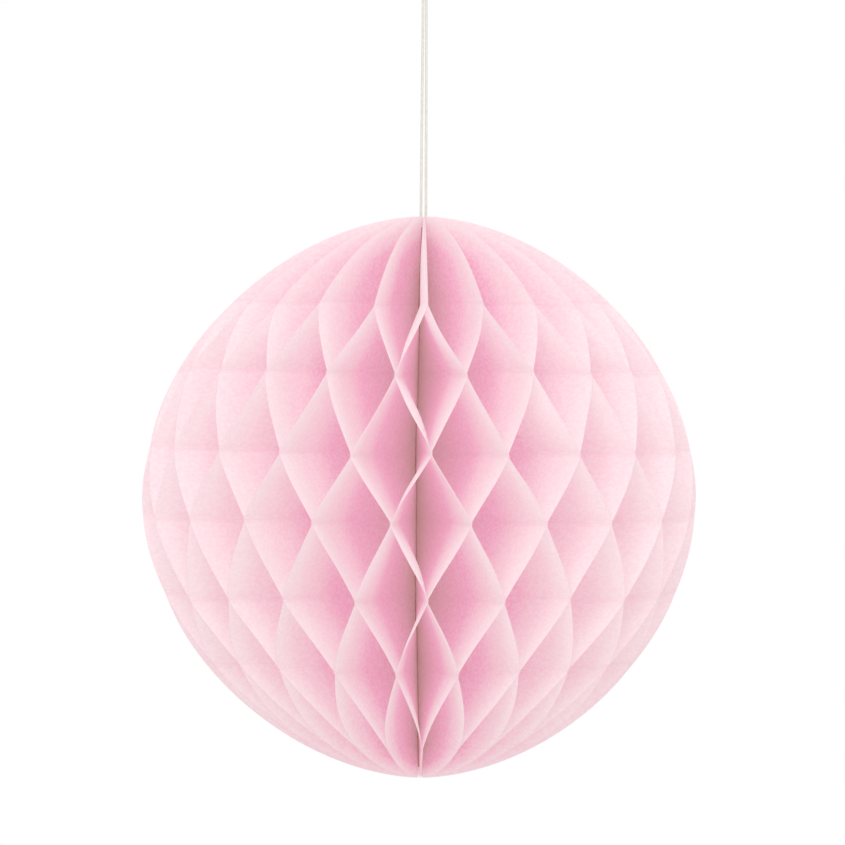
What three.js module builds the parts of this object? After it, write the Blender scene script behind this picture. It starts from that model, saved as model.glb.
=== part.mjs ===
// Honeycomb paper ball on a doubled hanging cord. Millimetres, +Z up.
// The origin is the point inside the cord's eye where a hook bears, and the ball hangs below it.
// Half-disc leaves of tissue stand round the axis in pairs. Neighbours are glued in short strips that
// change sides from row to row, so the opened leaves form columns of diamond cells.

import * as THREE from 'three';

// Outline of the ball: a superellipse turned about the axis
const ballDiameter = 100;
const ballHeight = 101.4;
const girthPower = 1.8;
const crownPower = 1.9;

// Leaves and the glue between them
const cellColumns = 22;
const leafThickness = 0.12;
const glueFilm = 0.1;
const tipWidth = 0.5;

// Glue rows, counted down from the top pole
const firstRowDrop = 15.5;
const rowPitch = 13.2;
const rowRaise = 0.9;
const glueBand = 1;
const lowestFreeEdge = 5;

// Binding on the axis
const bindingClearance = 0.2;
const bindingRecess = 2;
const bindingDome = 0.4;

// Hanging cord and its knot
const cordDiameter = 0.5;
const cordDrop = 50;
const cordSeatGap = 0.3;
const strandSpread = 0.9;
const knotLevel = -9.8;
const knotHeight = 1.6;
const knotWall = 0.6;
const knotClearance = 0.2;
const strandClearance = 0.1;

// Facets: the widest step of a free leaf end across the ball, and the divisions of round pieces
const capStep = 6.5;
const bindingSides = 16;
const knotSides = 16;
const knotArcSteps = 8;
const cordSides = 8;
const cordSteps = 80;

const halfHeight = ballHeight / 2;
const leafCount = 2 * cellColumns;
const leafTurn = (2 * Math.PI) / leafCount;
const leafSeat = (leafThickness + glueFilm) / 2;

// The bound edges stand side by side round the binding, so their number and thickness set its radius
const bindingEdge = (leafThickness + glueFilm) / leafTurn;
const tipRadius = bindingEdge + tipWidth;

// Radius of the outline at a height above the ball's middle, and the height at a radius
function outlineRadius(z) {
  const crown = 1 - Math.pow(Math.abs(z) / halfHeight, crownPower);
  return (ballDiameter / 2) * Math.pow(crown, 1 / girthPower);
}

function outlineHeight(radius) {
  const girth = 1 - Math.pow((2 * radius) / ballDiameter, girthPower);
  return halfHeight * Math.pow(girth, 1 / crownPower);
}

// Heights of the glue rows above the ball's middle, from the top down. Every second row, which joins
// neighbouring pairs, lies a little above the halfway level.
function glueRows() {
  const lowest = lowestFreeEdge - halfHeight;
  const rows = [];
  for (let z = halfHeight - firstRowDrop; z >= lowest; z -= rowPitch) {
    const raise = (rows.length % 2) * rowRaise;
    rows.push(z + raise);
  }
  return rows;
}

// Levels of a leaf's free end, from its glued strip to its tip, evenly stepped across the ball
function freeEndLevels(edge) {
  const start = outlineRadius(edge);
  const steps = Math.ceil((start - tipRadius) / capStep);
  const levels = [];
  for (let i = 1; i <= steps; i += 1) {
    const radius = start + ((tipRadius - start) * i) / steps;
    levels.push(Math.sign(edge) * outlineHeight(radius));
  }
  return levels;
}

// Each level of a leaf with its swing: 0 where the leaf is glued to its partner in the pair, and 1
// where it is glued to the next pair. Free ends keep the swing of the row that they start from.
function leafLevels() {
  const rows = glueRows();
  const swings = rows.map((z, i) => i % 2);
  const last = rows.length - 1;
  const top = rows[0] + glueBand / 2;
  const bottom = rows[last] - glueBand / 2;
  const levels = freeEndLevels(top).map((z) => ({ z, swing: swings[0] }));
  levels.reverse();
  rows.forEach((z, i) => {
    levels.push({ z: z + glueBand / 2, swing: swings[i] });
    levels.push({ z: z - glueBand / 2, swing: swings[i] });
    if (i < last) {
      levels.push({ z: (z + rows[i + 1]) / 2, swing: 0.5 });
    }
  });
  freeEndLevels(bottom).forEach((z) => levels.push({ z, swing: swings[last] }));
  return levels.reverse();
}

// One leaf as a loft of four-cornered sections, from the bottom tip to the top tip. The leaf keeps to
// its own sector beside the pair's middle plane, and hand says on which side of that plane it is.
function leafGeometry(hand) {
  const levels = leafLevels();
  const positions = [];
  levels.forEach(({ z, swing }) => {
    const turn = hand * swing * leafTurn;
    const seat = hand * leafSeat * (1 - 2 * swing);
    const near = seat - leafThickness / 2;
    const far = seat + leafThickness / 2;
    const rim = outlineRadius(z);
    const corners = [[bindingEdge, near], [rim, near], [rim, far], [bindingEdge, far]];
    corners.forEach(([x, y]) => {
      const along = x * Math.cos(turn) - y * Math.sin(turn);
      const across = x * Math.sin(turn) + y * Math.cos(turn);
      positions.push(along, across, z);
    });
  });

  const triangles = [];
  const quad = (a, b, c, d) => triangles.push(a, b, c, a, c, d);
  for (let i = 0; i + 1 < levels.length; i += 1) {
    const low = 4 * i;
    const high = low + 4;
    // The two broad faces are split along the same diagonal, so the sheet keeps its thickness
    quad(low, low + 1, high + 1, high);
    quad(low + 1, low + 2, high + 2, high + 1);
    quad(low + 3, high + 3, high + 2, low + 2);
    quad(low + 3, low, high, high + 3);
  }
  const top = 4 * (levels.length - 1);
  quad(3, 2, 1, 0);
  quad(top, top + 1, top + 2, top + 3);

  const geometry = new THREE.BufferGeometry();
  geometry.setAttribute('position', new THREE.Float32BufferAttribute(positions, 3));
  geometry.setIndex(triangles);
  geometry.computeVertexNormals();
  return geometry;
}

function tissuePaper() {
  return new THREE.MeshStandardMaterial({ color: '#f5c6d4', roughness: 0.9, metalness: 0 });
}

function boundPaper() {
  return new THREE.MeshStandardMaterial({ color: '#d99aa6', roughness: 0.9, metalness: 0 });
}

function cottonCord() {
  return new THREE.MeshStandardMaterial({ color: '#f0eee8', roughness: 0.85, metalness: 0 });
}

// A profile of [radius, height] corners turned about the Z axis
function turned(profile, sides) {
  const points = profile.map(([radius, height]) => new THREE.Vector2(radius, height));
  return new THREE.LatheGeometry(points, sides).rotateX(Math.PI / 2);
}

function namedMesh(name, geometry, material) {
  const mesh = new THREE.Mesh(geometry, material);
  mesh.name = name;
  return mesh;
}

// All leaves, as pairs turned round the axis; the first pair faces the front, along -Y
function honeycomb() {
  const group = new THREE.Group();
  const leftLeaf = leafGeometry(-1);
  const rightLeaf = leafGeometry(1);
  for (let k = 0; k < cellColumns; k += 1) {
    const pair = new THREE.Group();
    pair.rotation.z = 2 * k * leafTurn - Math.PI / 2;
    [leftLeaf, rightLeaf].forEach((geometry, side) => {
      const number = String(2 * k + side + 1).padStart(2, '0');
      pair.add(namedMesh(`leaf_${number}`, geometry, tissuePaper()));
    });
    group.add(pair);
  }
  return group;
}

// Core of glue and thread that holds the bound edges, with a low dome at each end
function spineBinding() {
  const radius = bindingEdge - bindingClearance;
  const end = halfHeight - bindingRecess;
  const profile = [
    [0, -end],
    [radius / 2, bindingDome / 4 - end],
    [radius, bindingDome - end],
    [radius, end - bindingDome],
    [radius / 2, end - bindingDome / 4],
    [0, end],
  ];
  return namedMesh('spine_binding', turned(profile, bindingSides), boundPaper());
}

// Centre line of one strand as [distance from the axis, height], from the binding to the top of the eye
const strandInKnot = cordDiameter / 2 + strandClearance / 2;
const strandRoute = [
  [strandSpread / 2, cordSeatGap - cordDrop - bindingRecess],
  [0.45, -49],
  [0.43, -43],
  [0.41, -37],
  [0.38, -31],
  [0.36, -25],
  [0.33, -19],
  [0.31, -14],
  [strandInKnot, knotLevel - knotHeight / 2],
  [strandInKnot, knotLevel + knotHeight / 2],
  [0.7, -7.6],
  [1.4, -5.9],
  [2.1, -4.1],
  [2.4, -2.6],
  [2.2, -1.2],
  [1.3, -0.1],
];

// One cord up the first strand, round the eye and down the second strand
function hangingCord() {
  const up = strandRoute.map(([x, z]) => new THREE.Vector3(-x, 0, z));
  const down = strandRoute.map(([x, z]) => new THREE.Vector3(x, 0, z)).reverse();
  const eyeTop = new THREE.Vector3(0, 0, cordDiameter / 2);
  const route = new THREE.CatmullRomCurve3([...up, eyeTop, ...down]);
  const section = new THREE.Shape();
  for (let i = 0; i < cordSides; i += 1) {
    const angle = (2 * Math.PI * i) / cordSides;
    const x = (cordDiameter / 2) * Math.cos(angle);
    const y = (cordDiameter / 2) * Math.sin(angle);
    if (i === 0) {
      section.moveTo(x, y);
    } else {
      section.lineTo(x, y);
    }
  }
  section.closePath();
  const geometry = new THREE.ExtrudeGeometry(section, { steps: cordSteps, extrudePath: route });
  return namedMesh('hanging_cord', geometry, cottonCord());
}

// Knot as a plump ring pulled tight round both strands
function cordKnot() {
  const inner = strandInKnot + cordDiameter / 2 + knotClearance;
  const half = knotHeight / 2;
  const profile = [[inner, -half]];
  for (let i = 0; i <= knotArcSteps; i += 1) {
    const angle = Math.PI * (i / knotArcSteps - 0.5);
    const bulge = (knotWall / 2) * (1 + Math.cos(angle));
    profile.push([inner + bulge, half * Math.sin(angle)]);
  }
  profile.push([inner, half], [inner, -half]);
  const knot = namedMesh('cord_knot', turned(profile, knotSides), cottonCord());
  knot.position.z = knotLevel;
  return knot;
}

const ball = new THREE.Group();
ball.position.z = -cordDrop - halfHeight;
ball.add(honeycomb(), spineBinding());

const hangingBall = new THREE.Group();
hangingBall.add(ball, hangingCord(), cordKnot());

export default hangingBall;
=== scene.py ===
# Looks of a hanging honeycomb paper ball: tissue leaves, bound core, twisted cord and knot.
# Metres, +Z up. The origin is the hook's place in the cord's eye, and the ball's front faces -Y.
import math
import random

import bpy
import numpy as np
from mathutils import Matrix, Vector


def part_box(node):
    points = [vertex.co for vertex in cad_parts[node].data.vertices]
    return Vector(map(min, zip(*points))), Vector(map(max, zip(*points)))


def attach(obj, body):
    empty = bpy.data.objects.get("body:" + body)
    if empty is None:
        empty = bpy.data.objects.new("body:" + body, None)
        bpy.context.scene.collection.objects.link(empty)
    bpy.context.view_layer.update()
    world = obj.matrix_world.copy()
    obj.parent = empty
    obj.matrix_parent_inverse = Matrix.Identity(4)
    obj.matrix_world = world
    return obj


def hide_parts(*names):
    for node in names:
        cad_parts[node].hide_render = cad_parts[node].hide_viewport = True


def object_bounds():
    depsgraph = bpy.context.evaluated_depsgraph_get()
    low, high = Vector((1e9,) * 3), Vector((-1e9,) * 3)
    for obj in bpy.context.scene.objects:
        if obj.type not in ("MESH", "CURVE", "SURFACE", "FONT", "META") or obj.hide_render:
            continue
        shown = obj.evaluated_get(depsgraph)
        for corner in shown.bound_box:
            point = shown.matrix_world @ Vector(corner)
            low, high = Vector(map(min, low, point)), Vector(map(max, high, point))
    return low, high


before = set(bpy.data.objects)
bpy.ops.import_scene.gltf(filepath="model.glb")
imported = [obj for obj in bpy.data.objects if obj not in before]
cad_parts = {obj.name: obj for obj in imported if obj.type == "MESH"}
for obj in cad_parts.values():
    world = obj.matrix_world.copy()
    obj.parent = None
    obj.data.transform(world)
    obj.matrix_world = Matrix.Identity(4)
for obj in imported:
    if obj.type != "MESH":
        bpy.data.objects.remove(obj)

cad_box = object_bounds()

# The ball's outline and its leaves, as in the solids
BALL_RADIUS = 0.050
HALF_HEIGHT = 0.0507
GIRTH_POWER = 1.8
CROWN_POWER = 1.9
LEAF_COUNT = 44
LEAF_THICKNESS = 0.00012
GLUE_FILM = 0.0001
TIP_WIDTH = 0.0005
FIRST_ROW_DROP = 0.0155
ROW_PITCH = 0.0132
ROW_RAISE = 0.0009
ROW_COUNT = 7

LEAF_TURN = 2 * math.pi / LEAF_COUNT
BINDING_EDGE = (LEAF_THICKNESS + GLUE_FILM) / LEAF_TURN
TIP_RADIUS = BINDING_EDGE + TIP_WIDTH
FRONT = -math.pi / 2
leaf_low, leaf_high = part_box("leaf_01")
BALL_CENTRE = (leaf_low[2] + leaf_high[2]) / 2

# The paper as it looks: thinner than the solids, with less glue between two leaves and narrower strips
PAPER_THICKNESS = 0.00006
PAPER_SEAT = 0.00006
GLUE_BAND = 0.0009

# Hand-made unevenness, seeded where the photograph shows nothing. Turns, bows, curls and openings are
# shares of a leaf's sector, and the limit on a spot's turn is a multiple of its usual turn.
SEED = 7
LEAF_SEED_STEP = 1000
SPOT_RISE = 0.00028
SPOT_TURN = 0.05
SPOT_TURN_LIMIT = 2.0
PANEL_BOW = 0.02
PANEL_CURL = 0.06
PANEL_CURL_LIMIT = 0.15
END_OPENING = (0.0, 0.05)

# A free end opens over its first third, and more again at its tip
OPENING_RATE = 3
TIP_OPENING = 0.1
TIP_POWER = 4

# Glued spots on the seen side, by row from the top: plane counted from the front, rise in millimetres,
# and turn as a share of a leaf's sector
SEEN_SPOTS = (
    ((-6, -0.2, -0.15), (-4, 0.2, -0.19), (-2, -0.45, 0.0), (0, -0.1, -0.08), (2, 0.0, -0.04),
     (4, 0.0, 0.06), (6, -0.4, 0.11)),
    ((-5, 0.15, -0.05), (-3, -0.1, -0.02), (-1, -0.45, -0.02), (1, -0.4, 0.02), (3, 0.15, 0.04),
     (5, -0.2, 0.06)),
    ((-6, 0.1, 0.04), (-4, 0.0, 0.02), (-2, -0.5, -0.04), (0, 0.0, 0.01), (2, -0.35, -0.03),
     (4, -0.3, 0.0), (6, -0.25, -0.04)),
    ((-5, 0.25, 0.04), (-3, -0.05, -0.01), (-1, -0.15, -0.01), (1, -0.15, 0.0), (3, -0.15, -0.02),
     (5, -0.15, -0.03)),
    ((-4, 0.35, -0.1), (-2, 0.05, -0.02), (0, 0.35, -0.06), (2, 0.2, 0.03), (4, 0.75, 0.0)),
    ((-5, 0.1, -0.16), (-3, -0.5, -0.1), (-1, -0.7, -0.05), (1, -0.65, -0.03), (3, -0.3, 0.04),
     (5, 0.1, -0.03)),
    ((-4, -0.7, -0.1), (-2, -0.9, -0.2), (0, -0.8, -0.14), (2, -0.5, -0.02), (4, -0.5, 0.0)),
)
MILLIMETRES_PER_METRE = 1000

# The front pair: how far its free ends stand open, and how far they bend aside, top and bottom
FRONT_OPENING = 0.03
FRONT_BENDS = (-0.05, -0.05)

# Curl of the front pair, as a share of a leaf's sector: of both leaves where the top glue row joins them,
# and of the left leaf's panels from there down
FRONT_LEAF = 1
JOINED_CURL = -0.25
FRONT_CURLS = (-0.12, 0.22, -0.12, 0.2, -0.08, 0.1)

# How far a swing rounds off at both glued strips
EDGE_EASE = 0.06

# The ball bellies out to one side at mid-height: its core more than its rim
CORE_LEAN = -0.0010
RIM_LEAN = -0.0005

# Glue that has soaked out from the binding, together with painted shade in the deepest corners by the
# core: how far, as a share of the leaf, how much on each face, and how fast it fades
SOAKED_AND_SHADE_REACH = (0.6, 0.22)
SOAKED_AND_SHADE_SHARES = (0.62, 0.22)
SOAKED_AND_SHADE_FADE = 1.3

# How far painted daylight reaches into the open ends of the cells, at the top and at the bottom: there the
# paper is painted as pale as at its rim
PAINTED_DAYLIGHT_REACH = (0.012, 0.006)

# Steps of a leaf mesh: between two glued strips, in a free end, and out from the core. The steps of a free
# end lie closer together next to its glued strip.
PANEL_STEPS = (0.0, 0.02, 0.06, 0.13, 0.22, 0.33, 0.44, 0.56, 0.67, 0.78, 0.87, 0.94, 0.98, 1.0)
END_STEPS = 14
END_SPACING = 1.5
DEPTH_STEPS = (0.0, 0.05, 0.12, 0.2, 0.3, 0.4, 0.5, 0.6, 0.7, 0.79, 0.87, 0.93, 0.97, 0.99, 1.0)

# A row value counts glue rows down a leaf. It is a whole number and a half in the middle of a glued strip,
# and this much less or more at the strip's edges.
STRIP_HALF = 0.05

# A curled panel is straight at the core and at the rim, and stands out most a little inside the rim
CURL_SCALE = 12.2
CURL_POWER = 4
CURL_SHAPE = np.array([CURL_SCALE * share ** CURL_POWER * (1 - share) for share in DEPTH_STEPS])

# Degrees from which an edge is shaded sharp, on a leaf and on a tube
LEAF_SHARP_ANGLE = 50
TUBE_SHARP_ANGLE = 60

# The photograph's frame, and the camera as worked out from it
PHOTO_SIDE = 845
BALL_RADIUS_PIXELS = 276.8
BALL_CENTRE_PIXEL = (422.2, 497.0)
CAMERA_DISTANCE = 1.535
CAMERA_ELEVATION = 0.0232
CAMERA_AZIMUTH = -0.0439
CAMERA_ROLL = 0.006
SENSOR = 0.036
NEAR_CLIP = 0.05


def outline_radius(z):
    """Radius of the ball's outline at heights above its middle."""
    crown = 1 - np.abs(z / HALF_HEIGHT) ** CROWN_POWER
    return BALL_RADIUS * crown ** (1 / GIRTH_POWER)


def outline_height(radius):
    """Height of the ball's outline above its middle at distances from the axis."""
    girth = 1 - (radius / BALL_RADIUS) ** GIRTH_POWER
    return HALF_HEIGHT * girth ** (1 / CROWN_POWER)


def lean(z, depth):
    """Sideways shift of the paper at heights above the middle and shares of the way out from the core."""
    return (CORE_LEAN + (RIM_LEAN - CORE_LEAN) * depth) * (1 - (z / HALF_HEIGHT) ** 2)


# Materials


class Nodes:
    """Short names for building one material's node tree."""

    def __init__(self, name):
        self.material = bpy.data.materials.new(name)
        self.material.use_nodes = True
        self.tree = self.material.node_tree
        self.tree.nodes.clear()

    def add(self, kind, **values):
        node = self.tree.nodes.new(kind)
        for key, value in values.items():
            setattr(node, key, value)
        return node

    def link(self, output, socket):
        self.tree.links.new(output, socket)

    def put(self, socket, value):
        if isinstance(value, bpy.types.NodeSocket):
            self.link(value, socket)
        else:
            socket.default_value = value

    def math(self, operation, a, b=0.0):
        node = self.add("ShaderNodeMath", operation=operation)
        for socket, value in zip(node.inputs, (a, b)):
            self.put(socket, value)
        return node.outputs[0]

    def noise(self, vector, scale, detail=2.0, roughness=0.5):
        node = self.add("ShaderNodeTexNoise")
        self.put(node.inputs["Vector"], vector)
        self.put(node.inputs["Scale"], scale)
        self.put(node.inputs["Detail"], detail)
        self.put(node.inputs["Roughness"], roughness)
        return node.outputs["Fac"]

    def span(self, value, low, high, to_low=0.0, to_high=1.0):
        node = self.add("ShaderNodeMapRange", interpolation_type="SMOOTHSTEP")
        for socket, number in zip(node.inputs, (value, low, high, to_low, to_high)):
            self.put(socket, number)
        return node.outputs[0]

    def mix(self, factor, a, b):
        # This node's colour sockets come after those for numbers and for vectors
        node = self.add("ShaderNodeMix", data_type="RGBA")
        self.put(node.inputs[0], factor)
        self.put(node.inputs[6], a)
        self.put(node.inputs[7], b)
        return node.outputs[2]

    def attribute(self, name):
        return self.add("ShaderNodeAttribute", attribute_name=name).outputs["Fac"]

    def position(self):
        return self.add("ShaderNodeTexCoord").outputs["Object"]

    def stretched(self, vector, scale):
        node = self.add("ShaderNodeMapping")
        self.put(node.inputs["Vector"], vector)
        node.inputs["Scale"].default_value = scale
        return node.outputs[0]

    def bump(self, height, strength, distance):
        node = self.add("ShaderNodeBump")
        self.put(node.inputs["Strength"], strength)
        self.put(node.inputs["Distance"], distance)
        self.put(node.inputs["Height"], height)
        return node.outputs[0]

    def surface(self, shader):
        output = self.add("ShaderNodeOutputMaterial")
        self.link(shader, output.inputs["Surface"])
        return self.material


def linear(red, green, blue):
    """A colour written in screen values from 0 to 255, as the shader's linear values."""
    def channel(value):
        value /= 255
        return value / 12.92 if value <= 0.04045 else ((value + 0.055) / 1.055) ** 2.4
    return (channel(red), channel(green), channel(blue), 1.0)


# Colours of the paper, the binding, the cotton and the floor
WHITE = linear(255, 255, 255)
# The paper's colours towards the core are painted shade: fuller and darker, as the shade and the pink
# light bounced between the leaves deep in the cells
PAPER_CORE_PAINTED_SHADE = linear(254, 221, 235)
PAPER_MIDDLE_PAINTED_SHADE = linear(255, 235, 241)
PAPER_RIM = linear(255, 242, 245)
GLUE_LINE = linear(249, 226, 235)
# Soaked glue by the binding, with painted shade in the deepest corners there
SOAKED_GLUE_AND_SHADE = linear(212, 194, 178)
# Painted shade for the cut edge of the paper
CUT_EDGE_PAINTED_SHADE = linear(251, 220, 230)
BINDING_DARK = linear(190, 142, 138)
BINDING_PALE = linear(206, 164, 158)
BINDING_BLOTCH = linear(176, 126, 122)
COTTON_SHADED = linear(214, 212, 201)
COTTON_PALE = linear(231, 229, 220)
COTTON_PATCH = linear(215, 213, 202)
FLOOR_DARK = linear(238, 238, 237)
FLOOR_PALE = linear(243, 243, 242)

# Share of the tissue's light that comes through it, and the dull gloss of everything else
SEEN_THROUGH = 0.5
DULL_GLOSS = 0.15


def principled(nodes, colour, normal, roughness, sheen=0.0):
    """A surface shader with little gloss."""
    shader = nodes.add("ShaderNodeBsdfPrincipled")
    nodes.put(shader.inputs["Base Color"], colour)
    nodes.put(shader.inputs["Roughness"], roughness)
    nodes.put(shader.inputs["Normal"], normal)
    shader.inputs["Specular IOR Level"].default_value = DULL_GLOSS
    shader.inputs["Sheen Weight"].default_value = sheen
    return shader.outputs[0]


def tissue_material():
    """Pale pink tissue: finely mottled, and thin enough to let much of the light through."""
    nodes = Nodes("pink_tissue")
    place = nodes.position()
    grain = nodes.noise(nodes.stretched(place, (0.8, 0.8, 1.3)), scale=1500, detail=1.0, roughness=0.6)
    # Painted shade: the paper is painted fuller and darker towards the core, standing in for the shade and
    # the pink light bounced between the leaves deep in the cells. It changes fast about two thirds of the
    # way out, and then slowly to the rim.
    depth = nodes.attribute("depth")
    outer_painted_shade = nodes.mix(nodes.span(depth, low=0.78, high=0.98), PAPER_MIDDLE_PAINTED_SHADE, PAPER_RIM)
    paper = nodes.mix(nodes.span(depth, low=0.58, high=0.78), PAPER_CORE_PAINTED_SHADE, outer_painted_shade)
    paper = nodes.mix(nodes.span(grain, low=0.35, high=0.65, to_high=0.34), paper, WHITE)
    # Dried glue shows through as a faint, broken line along each glue row
    along = nodes.math("FRACT", nodes.attribute("row"))
    from_row = nodes.math("ABSOLUTE", nodes.math("SUBTRACT", along, 0.5))
    line = nodes.span(from_row, low=0.004, high=0.014, to_low=1.0, to_high=0.0)
    broken = nodes.span(grain, low=0.4, high=0.6, to_low=0.05, to_high=0.4)
    paper = nodes.mix(nodes.math("MULTIPLY", line, broken), paper, GLUE_LINE)
    # Glue soaked into the paper next to the binding, mostly on one face of each leaf, together with
    # painted shade in the deepest corners by the core
    paper = nodes.mix(nodes.attribute("soaked_and_shade"), paper, SOAKED_GLUE_AND_SHADE)
    # The cut edge is painted a little darker, as painted shade, so that it shows no pale line where the
    # light catches it
    paper = nodes.mix(nodes.attribute("cut"), paper, CUT_EDGE_PAINTED_SHADE)
    normal = nodes.bump(grain, strength=0.3, distance=0.00008)
    front = nodes.add("ShaderNodeBsdfDiffuse")
    through = nodes.add("ShaderNodeBsdfTranslucent")
    for shader in (front, through):
        nodes.put(shader.inputs["Color"], paper)
        nodes.put(shader.inputs["Normal"], normal)
    both = nodes.add("ShaderNodeMixShader")
    both.inputs[0].default_value = SEEN_THROUGH
    nodes.link(front.outputs[0], both.inputs[1])
    nodes.link(through.outputs[0], both.inputs[2])
    return nodes.surface(both.outputs[0])


def binding_material():
    """Bound paper edges soaked with glue: dull brownish pink with upright streaks."""
    nodes = Nodes("bound_edges")
    place = nodes.position()
    streak = nodes.noise(nodes.stretched(place, (1.0, 1.0, 0.12)), scale=2600, detail=3.0, roughness=0.6)
    blotch = nodes.noise(place, scale=260)
    colour = nodes.mix(nodes.span(streak, low=0.3, high=0.7), BINDING_DARK, BINDING_PALE)
    colour = nodes.mix(nodes.span(blotch, low=0.45, high=0.75, to_high=0.5), colour, BINDING_BLOTCH)
    normal = nodes.bump(streak, strength=0.5, distance=0.0001)
    return nodes.surface(principled(nodes, colour, normal, roughness=0.8))


def cotton_material():
    """White cotton cord with fine fibres along it."""
    nodes = Nodes("white_cotton")
    place = nodes.position()
    fibre = nodes.noise(nodes.stretched(place, (1.0, 1.0, 0.3)), scale=5200, detail=3.0, roughness=0.65)
    patch = nodes.noise(place, scale=500)
    colour = nodes.mix(nodes.span(fibre, low=0.3, high=0.7), COTTON_SHADED, COTTON_PALE)
    colour = nodes.mix(nodes.span(patch, low=0.4, high=0.8, to_high=0.35), colour, COTTON_PATCH)
    normal = nodes.bump(fibre, strength=0.3, distance=0.00004)
    return nodes.surface(principled(nodes, colour, normal, roughness=0.85, sheen=0.2))


def floor_material():
    """Pale floor with a faint unevenness."""
    nodes = Nodes("pale_floor")
    grain = nodes.noise(nodes.position(), scale=40, detail=3.0)
    colour = nodes.mix(grain, FLOOR_DARK, FLOOR_PALE)
    normal = nodes.bump(grain, strength=0.02, distance=0.001)
    return nodes.surface(principled(nodes, colour, normal, roughness=0.95))


# Leaves


def clamped(value, limit):
    """The value, kept within the limit on both sides of zero."""
    return max(-limit, min(limit, value))


def glue_points():
    """Unevenness of each glued spot: its rise, and its turn about the axis."""
    rng = random.Random(SEED)
    points = {}
    for row in range(ROW_COUNT):
        for plane in range(row % 2, LEAF_COUNT, 2):
            rise = rng.gauss(0, SPOT_RISE)
            turn = clamped(rng.gauss(0, 1), SPOT_TURN_LIMIT) * SPOT_TURN * LEAF_TURN
            points[row, plane] = (rise, turn)
    for row, spots in enumerate(SEEN_SPOTS):
        for plane, rise, turn in spots:
            points[row, plane % LEAF_COUNT] = (rise / MILLIMETRES_PER_METRE, turn * LEAF_TURN)
    return points


def eased(share):
    """A nearly straight swing that rounds off a little at both glued strips."""
    return share - EDGE_EASE * math.sin(2 * math.pi * share) / (2 * math.pi)


def free_end(start):
    """Heights from the edge of a glued strip to a leaf's tip, with their shares of the way there."""
    shares = np.linspace(0, 1, END_STEPS + 1)[1:] ** END_SPACING
    first = outline_radius(start)
    heights = outline_height(first + (TIP_RADIUS - first) * shares)
    return np.copysign(heights, start), shares


def leaf_rows(pair, hand, points):
    """Height, turn and swing of one leaf's glued strips, from the top down."""
    rows = []
    for row in range(ROW_COUNT):
        swing = row % 2
        plane = 2 * pair + hand * swing
        rise, turn = points[row, plane % LEAF_COUNT]
        height = HALF_HEIGHT - FIRST_ROW_DROP - row * ROW_PITCH + swing * ROW_RAISE
        rows.append((height + rise, plane * LEAF_TURN + FRONT + turn, swing))
    return rows


def leaf_levels(number, points, rng):
    """Height, turn, seat, row value and curl at each level of one leaf, from the top tip down."""
    pair, side = divmod(number - 1, 2)
    hand = 2 * side - 1
    rows = leaf_rows(pair, hand, points)
    opening = rng.uniform(*END_OPENING)
    bends = (0.0, 0.0)
    joined = [0.0] * ROW_COUNT
    if pair == 0:
        opening = FRONT_OPENING
        bends = FRONT_BENDS
        joined[0] = JOINED_CURL * LEAF_TURN

    def seat_at(swing):
        return hand * PAPER_SEAT * (1 - 2 * swing)

    def end_levels(row, sign):
        """Levels of the free end above or below a glued strip, from the strip to the tip."""
        height, turn, _ = rows[row]
        heights, shares = free_end(height + sign * GLUE_BAND / 2)
        swings = opening * np.minimum(1, OPENING_RATE * shares) + TIP_OPENING * shares ** TIP_POWER
        bend = bends[0] if sign > 0 else bends[1]
        turns = turn + (hand * swings + bend * np.sin(np.pi * shares)) * LEAF_TURN
        values = row + 0.5 - sign * 0.5 * shares
        curls = joined[row] * (1 - shares ** 2)
        return list(zip(heights, turns, seat_at(swings), values, curls))

    def strip_levels(row):
        """Levels across a glued strip: its upper edge, middle and lower edge."""
        height, turn, swing = rows[row]
        seat = seat_at(swing)
        levels = []
        for share in (1, 0, -1):
            value = row + 0.5 - STRIP_HALF * share
            levels.append((height + share * GLUE_BAND / 2, turn, seat, value, joined[row]))
        return levels

    def panel_levels(row):
        """Levels between a glued strip and the next one down."""
        height, turn, swing = rows[row]
        next_height, next_turn, next_swing = rows[row + 1]
        top = height - GLUE_BAND / 2
        bottom = next_height + GLUE_BAND / 2
        bow = rng.gauss(0, PANEL_BOW) * LEAF_TURN
        curl = clamped(rng.gauss(0, PANEL_CURL), PANEL_CURL_LIMIT)
        if number == FRONT_LEAF:
            curl = FRONT_CURLS[row]
        levels = []
        for share in PANEL_STEPS[1:-1]:
            way = eased(share)
            wave = math.sin(math.pi * share)
            level_turn = turn + (next_turn - turn) * way + bow * wave ** 2
            level_swing = swing + (next_swing - swing) * way
            value = row + 0.5 + STRIP_HALF + (1 - 2 * STRIP_HALF) * share
            bent = joined[row] + (joined[row + 1] - joined[row]) * share + curl * LEAF_TURN * wave
            levels.append((top + (bottom - top) * share, level_turn, seat_at(level_swing), value, bent))
        return levels

    last = ROW_COUNT - 1
    levels = end_levels(0, 1)[::-1]
    for row in range(ROW_COUNT):
        levels += strip_levels(row)
        if row < last:
            levels += panel_levels(row)
    levels += end_levels(last, -1)
    return np.array(levels, float)


def leaf_quads(levels, steps):
    """Quads of a leaf's two broad faces, followed by those of its edge."""
    near, far = np.arange(2 * levels * steps).reshape(2, levels, steps)

    def strip(a, b):
        """Quads between two equal lines of corners."""
        return np.stack([a[:-1], b[:-1], b[1:], a[1:]], axis=-1).reshape(-1, 4)

    quads = [strip(near[i], near[i + 1]) for i in range(levels - 1)]
    quads += [strip(far[i + 1], far[i]) for i in range(levels - 1)]
    quads += [strip(near[:, -1], far[:, -1])[:, ::-1], strip(near[:, 0], far[:, 0])]
    quads += [strip(near[0], far[0])[:, ::-1], strip(near[-1], far[-1])]
    return np.concatenate(quads)


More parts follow.
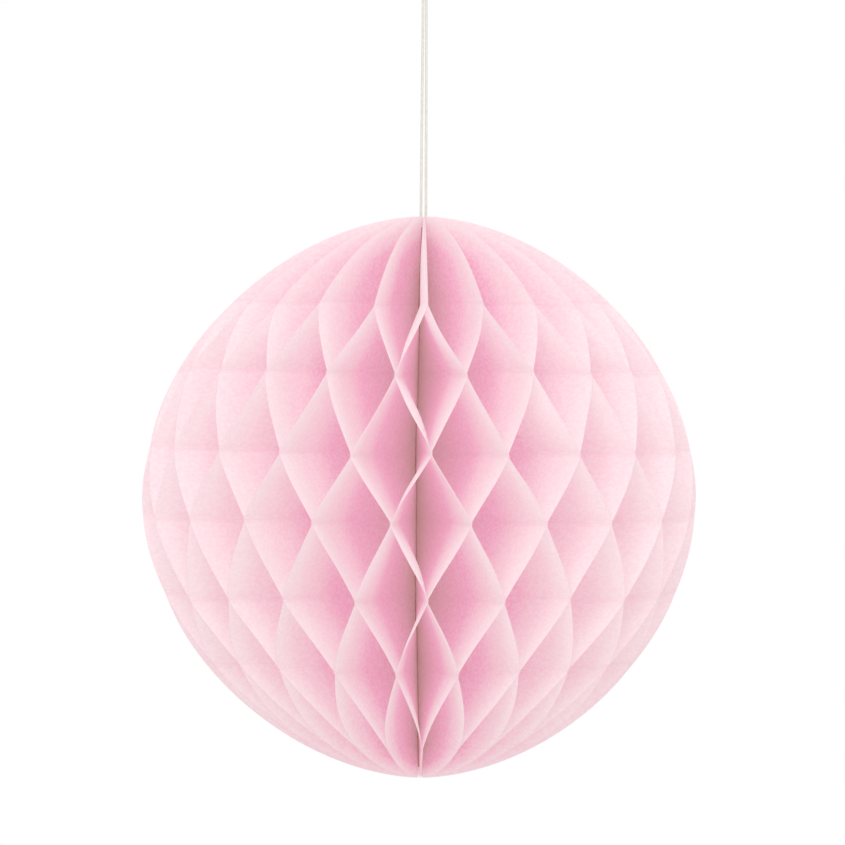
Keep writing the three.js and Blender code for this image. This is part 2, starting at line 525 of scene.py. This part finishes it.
def leaf_mesh(number, points):
    """One closed thin leaf: two faces a paper's thickness apart, joined all round the edge."""
    rng = random.Random(SEED * LEAF_SEED_STEP + number)
    height, turn, seat, row, curl = leaf_levels(number, points, rng).T[:, :, None]
    depth = np.array(DEPTH_STEPS)[None, :]
    rim = outline_radius(height)
    reach = BINDING_EDGE + depth * (rim - BINDING_EDGE)
    turn = turn + curl * CURL_SHAPE
    corners = []
    for side in (-1, 1):
        across = seat + side * PAPER_THICKNESS / 2
        x = reach * np.cos(turn) - across * np.sin(turn) + lean(height, depth)
        y = reach * np.sin(turn) + across * np.cos(turn)
        z = np.broadcast_to(BALL_CENTRE + height, reach.shape)
        corners.append(np.stack([x, y, z], axis=-1).reshape(-1, 3))
    levels, steps = reach.shape
    mesh = bpy.data.meshes.new(f"tissue_leaf_{number:02d}")
    mesh.from_pydata(np.concatenate(corners).tolist(), [], leaf_quads(levels, steps).tolist())

    # What the paper's material reads: glue rows, way out from the core for the painted shade (taken as the
    # rim near the open ends, as painted daylight), soaked glue with painted shade by the core, and the cut
    # edge
    rows = np.broadcast_to(row, reach.shape)
    from_end = outline_height(np.minimum(reach, rim)) - np.abs(height)
    painted_daylight_at_end = np.clip(1 - from_end / np.where(height > 0, *PAINTED_DAYLIGHT_REACH), 0, 1)
    painted_shade_depths = np.maximum(depth, painted_daylight_at_end)
    soaked_and_shade = [
        share * np.clip(1 - depth / limit, 0, 1) ** SOAKED_AND_SHADE_FADE * (1 - painted_daylight_at_end)
        for limit, share in zip(SOAKED_AND_SHADE_REACH, SOAKED_AND_SHADE_SHARES)
    ]
    cut = np.zeros(len(mesh.polygons))
    cut[2 * (levels - 1) * (steps - 1):] = 1
    layers = (
        ("row", "POINT", np.stack([rows, rows])),
        ("depth", "POINT", np.stack([painted_shade_depths, painted_shade_depths])),
        ("soaked_and_shade", "POINT", np.stack(soaked_and_shade)),
        ("cut", "FACE", cut),
    )
    for name, domain, values in layers:
        layer = mesh.attributes.new(name, "FLOAT", domain)
        layer.data.foreach_set("value", values.ravel())
    return mesh


def add_piece(name, mesh, material, slot, *nodes):
    """A new object that stands for CAD nodes and hangs still with the part."""
    piece = bpy.data.objects.new(name, mesh)
    bpy.context.collection.objects.link(piece)
    mesh.materials.append(material)
    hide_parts(*nodes)
    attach(piece, "root")
    return piece


def smooth(mesh, sharp_degrees):
    """Smooth shading, apart from edges sharper than an angle."""
    mesh.polygons.foreach_set("use_smooth", [True] * len(mesh.polygons))
    mesh.set_sharp_from_angle(angle=math.radians(sharp_degrees))


def make_leaves():
    """All tissue leaves, each as a piece of its own."""
    material = tissue_material()
    points = glue_points()
    for number in range(1, LEAF_COUNT + 1):
        mesh = leaf_mesh(number, points)
        smooth(mesh, LEAF_SHARP_ANGLE)
        add_piece(f"tissue_leaf_{number:02d}", mesh, material, "tissue", f"leaf_{number:02d}")


# Binding, cord and knot

# The cord: its diameter, its plies, the length in which they turn once, how deep they part, and the
# steps and sides of its mesh
CORD_DIAMETER = 0.0005
CORD_PLIES = 3
CORD_LAY = 0.0024
PLY_DEPTH = 0.07
CORD_STEP = 0.00016
CORD_SIDES = 18

# Centre line of one strand as distance from the axis and height, from the binding to the top of the eye
STRAND_ROUTE = [
    (0.00045, -0.0517), (0.00045, -0.049), (0.00043, -0.043), (0.00041, -0.037),
    (0.00038, -0.031), (0.00036, -0.025), (0.00033, -0.019), (0.00031, -0.014),
    (0.0003, -0.0106), (0.0003, -0.009), (0.0007, -0.0076), (0.0014, -0.0059),
    (0.0021, -0.0041), (0.0024, -0.0026), (0.0022, -0.0012), (0.0013, -0.0001),
]
EYE_TOP = (0.0, 0.0, CORD_DIAMETER / 2)

# The knot: its turns, their radius, how much they swell at mid-height, and the steps of each
KNOT_TURNS = 3
KNOT_RADIUS = 0.00082
KNOT_SWELL = 0.12
STEPS_PER_KNOT_TURN = 40

# The core: rings and sides of its mesh, how far and how fast its line wavers, and the ridges round it
BINDING_RINGS = 90
BINDING_SIDES = 2 * LEAF_COUNT
WAVER = 0.00008
WAVER_RATES = (0.9, 0.7)
RIDGE_BASE = 0.93
RIDGE_HEIGHT = 0.04
RIDGE_RATE = 700


def tube_mesh(name, path, section_at, sides):
    """A closed tube along a path of points; section_at gives the radius at a place along and around."""
    path = np.array(path, float)
    ahead = np.gradient(path, axis=0)
    ahead /= np.linalg.norm(ahead, axis=1)[:, None]
    along = np.concatenate([[0], np.cumsum(np.linalg.norm(np.diff(path, axis=0), axis=1))])
    side = np.array([0.0, 1.0, 0.0])
    vertices = []
    for point, way, distance in zip(path, ahead, along):
        side = side - way * (side @ way)
        side /= np.linalg.norm(side)
        up = np.cross(way, side)
        for i in range(sides):
            angle = 2 * math.pi * i / sides
            radius = section_at(distance, angle)
            vertices.append(point + radius * (math.cos(angle) * side + math.sin(angle) * up))
    rings = len(path)
    quads = []
    for ring in range(rings - 1):
        for i in range(sides):
            a = ring * sides + i
            b = ring * sides + (i + 1) % sides
            quads.append((a, b, b + sides, a + sides))
    caps = [tuple(range(sides))[::-1], tuple(range((rings - 1) * sides, rings * sides))]
    mesh = bpy.data.meshes.new(name)
    mesh.from_pydata([tuple(v) for v in vertices], [], quads + caps)
    smooth(mesh, TUBE_SHARP_ANGLE)
    return mesh


def smooth_route(points, step):
    """Points about a step apart on a smooth curve through the given ones."""
    points = [Vector(p) for p in points]
    padded = [2 * points[0] - points[1], *points, 2 * points[-1] - points[-2]]
    fine = []
    for a, b, c, d in zip(padded, padded[1:], padded[2:], padded[3:]):
        count = max(2, round((c - b).length / step))
        for i in range(count):
            t = i / count
            fine.append(
                0.5 * (2 * b + (c - a) * t + (2 * a - 5 * b + 4 * c - d) * t * t
                       + (3 * b - a - 3 * c + d) * t ** 3)
            )
    return fine + [points[-1]]


def twisted_section(distance, angle):
    """Radius of a cord laid from a few plies: a lobed outline that turns along the cord."""
    lobe = abs(math.cos(CORD_PLIES / 2 * (angle - 2 * math.pi * distance / CORD_LAY)))
    return CORD_DIAMETER / 2 * (1 - PLY_DEPTH + PLY_DEPTH * lobe)


def make_cord(material, knot):
    """One cotton cord up the first strand, round the eye and down the second strand."""
    up = [(-x, 0.0, z) for x, z in STRAND_ROUTE]
    down = [(x, 0.0, z) for x, z in reversed(STRAND_ROUTE)]
    route = smooth_route([*up, EYE_TOP, *down], CORD_STEP)
    mesh = tube_mesh("cotton_cord", route, twisted_section, CORD_SIDES)
    cord = add_piece("cotton_cord", mesh, material, "cord", "hanging_cord")


def make_knot(material):
    """The doubled cord's knot: close turns round both strands."""
    low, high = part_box("cord_knot")
    middle = (low[2] + high[2]) / 2
    rise = (high[2] - low[2]) - CORD_DIAMETER
    steps = KNOT_TURNS * STEPS_PER_KNOT_TURN
    path = []
    for i in range(steps + 1):
        share = i / steps
        angle = 2 * math.pi * KNOT_TURNS * share
        radius = KNOT_RADIUS * (1 + KNOT_SWELL * math.sin(math.pi * share))
        path.append((radius * math.cos(angle), radius * math.sin(angle), middle + rise * (share - 0.5)))
    mesh = tube_mesh("cord_knot_turns", path, twisted_section, CORD_SIDES)
    return add_piece("knotted_turns", mesh, material, "cord", "cord_knot")


def make_binding():
    """The core of bound edges: a slim, slightly uneven column of glue with upright ridges."""
    low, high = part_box("spine_binding")
    core_radius = (high[0] - low[0]) / 2
    path = []
    for i in range(BINDING_RINGS + 1):
        z = low[2] + (high[2] - low[2]) * i / BINDING_RINGS
        x = lean(z - BALL_CENTRE, 0.0) + WAVER * math.sin(i * WAVER_RATES[0])
        path.append((x, WAVER * math.cos(i * WAVER_RATES[1]), z))

    def ridged_section(distance, angle):
        ridge = math.sin(LEAF_COUNT / 2 * angle) * math.sin(distance * RIDGE_RATE) ** 2
        return core_radius * (RIDGE_BASE + RIDGE_HEIGHT * ridge)

    mesh = tube_mesh("binding_core", path, ridged_section, BINDING_SIDES)
    add_piece("binding_core", mesh, binding_material(), "binding", "spine_binding")


# Stage

FLOOR_BELOW_BALL = 0.15
FLOOR_RADIUS = 2.0
FLOOR_SIDES = 96
WORLD_STRENGTH = 0.83

# Light reaches the core of the paper cells only after many bounces between the pale leaves. After the
# first ones it is taken to be as bright as the world's with a share of the lamps', and nothing farther
# off than half a paper's thickness is taken to stand in its way.
TRACED_BOUNCES = 2
PATH_BOUNCES = 12
LAMP_BOUNCES = 2
OPEN_REACH = PAPER_THICKNESS / 2
DEEP_LIGHT = 1.06


def make_floor():
    """A round floor below the ball."""
    mesh = bpy.data.meshes.new("floor")
    z = cad_box[0][2] - FLOOR_BELOW_BALL
    turns = [2 * math.pi * i / FLOOR_SIDES for i in range(FLOOR_SIDES)]
    ring = [(FLOOR_RADIUS * math.cos(a), FLOOR_RADIUS * math.sin(a), z) for a in turns]
    mesh.from_pydata(ring, [], [tuple(range(FLOOR_SIDES))])
    mesh.materials.append(floor_material())
    floor = bpy.data.objects.new("floor", mesh)
    bpy.context.collection.objects.link(floor)


def make_world():
    """White to the camera, in reflections and through the paper, and a soft light for all else."""
    world = bpy.data.worlds.new("studio")
    bpy.context.scene.world = world
    world.use_nodes = True
    tree = world.node_tree
    tree.nodes.clear()
    rays = tree.nodes.new("ShaderNodeLightPath")
    seen = rays.outputs["Is Camera Ray"]
    for name in ("Is Glossy Ray", "Is Transmission Ray"):
        either = tree.nodes.new("ShaderNodeMath")
        either.operation = "MAXIMUM"
        tree.links.new(seen, either.inputs[0])
        tree.links.new(rays.outputs[name], either.inputs[1])
        seen = either.outputs[0]
    soft = tree.nodes.new("ShaderNodeBackground")
    soft.inputs["Color"].default_value = WHITE
    soft.inputs["Strength"].default_value = WORLD_STRENGTH
    white = tree.nodes.new("ShaderNodeBackground")
    white.inputs["Color"].default_value = WHITE
    both = tree.nodes.new("ShaderNodeMixShader")
    tree.links.new(seen, both.inputs[0])
    tree.links.new(soft.outputs[0], both.inputs[1])
    tree.links.new(white.outputs[0], both.inputs[2])
    output = tree.nodes.new("ShaderNodeOutputWorld")
    tree.links.new(both.outputs[0], output.inputs["Surface"])


def make_lamp(name, place, size, power):
    """A square lamp at a place given from the ball's middle, and aimed at it."""
    lamp = bpy.data.lights.new(name, "AREA")
    lamp.size = size
    lamp.energy = power
    lamp.cycles.max_bounces = LAMP_BOUNCES
    centre = Vector((0, 0, BALL_CENTRE))
    holder = bpy.data.objects.new(name, lamp)
    holder.location = centre + Vector(place)
    holder.rotation_euler = (centre - holder.location).to_track_quat("-Z", "Y").to_euler()
    bpy.context.collection.objects.link(holder)


def make_camera():
    """A long lens a little above the ball's middle, aimed so that the ball lies where the photo has it."""
    data = bpy.data.cameras.new("camera")
    data.sensor_width = SENSOR * MILLIMETRES_PER_METRE
    pixels_per_metre = BALL_RADIUS_PIXELS / BALL_RADIUS
    data.lens = data.sensor_width * pixels_per_metre * CAMERA_DISTANCE / PHOTO_SIDE
    data.clip_start = NEAR_CLIP
    centre = Vector((0, 0, BALL_CENTRE))
    back = Vector((
        math.sin(CAMERA_AZIMUTH) * math.cos(CAMERA_ELEVATION),
        -math.cos(CAMERA_AZIMUTH) * math.cos(CAMERA_ELEVATION),
        math.sin(CAMERA_ELEVATION),
    ))
    facing = (-back).to_track_quat("-Z", "Y").to_matrix()
    middle = PHOTO_SIDE / 2
    right = (middle - BALL_CENTRE_PIXEL[0]) / pixels_per_metre
    up = (BALL_CENTRE_PIXEL[1] - middle) / pixels_per_metre
    place = centre + back * CAMERA_DISTANCE
    aim = centre + facing @ Vector((right, up, 0))
    turned = (aim - place).to_track_quat("-Z", "Y").to_matrix() @ Matrix.Rotation(CAMERA_ROLL, 3, "Z")
    camera = bpy.data.objects.new("camera", data)
    camera.matrix_world = Matrix.Translation(place) @ turned.to_4x4()
    bpy.context.collection.objects.link(camera)
    bpy.context.scene.camera = camera


def set_light_paths():
    """How far light is followed between the leaves, and what stands for it after that."""
    cycles = bpy.context.scene.cycles
    cycles.max_bounces = PATH_BOUNCES
    cycles.diffuse_bounces = PATH_BOUNCES
    cycles.transmission_bounces = PATH_BOUNCES
    cycles.use_fast_gi = True
    cycles.fast_gi_method = "REPLACE"
    cycles.ao_bounces = TRACED_BOUNCES
    cycles.ao_bounces_render = TRACED_BOUNCES
    soft_light = bpy.context.scene.world.light_settings
    soft_light.distance = OPEN_REACH
    soft_light.ao_factor = DEEP_LIGHT


bpy.context.scene.view_settings.view_transform = "Standard"
make_camera()
cotton = cotton_material()
make_cord(cotton, make_knot(cotton))
make_leaves()
make_binding()
make_floor()
make_world()
set_light_paths()
make_lamp("key", place=(-0.3, -1.75, 1.1), size=1.3, power=12.5)
make_lamp("fill", place=(1.5, -0.5, 1.0), size=1.2, power=3)
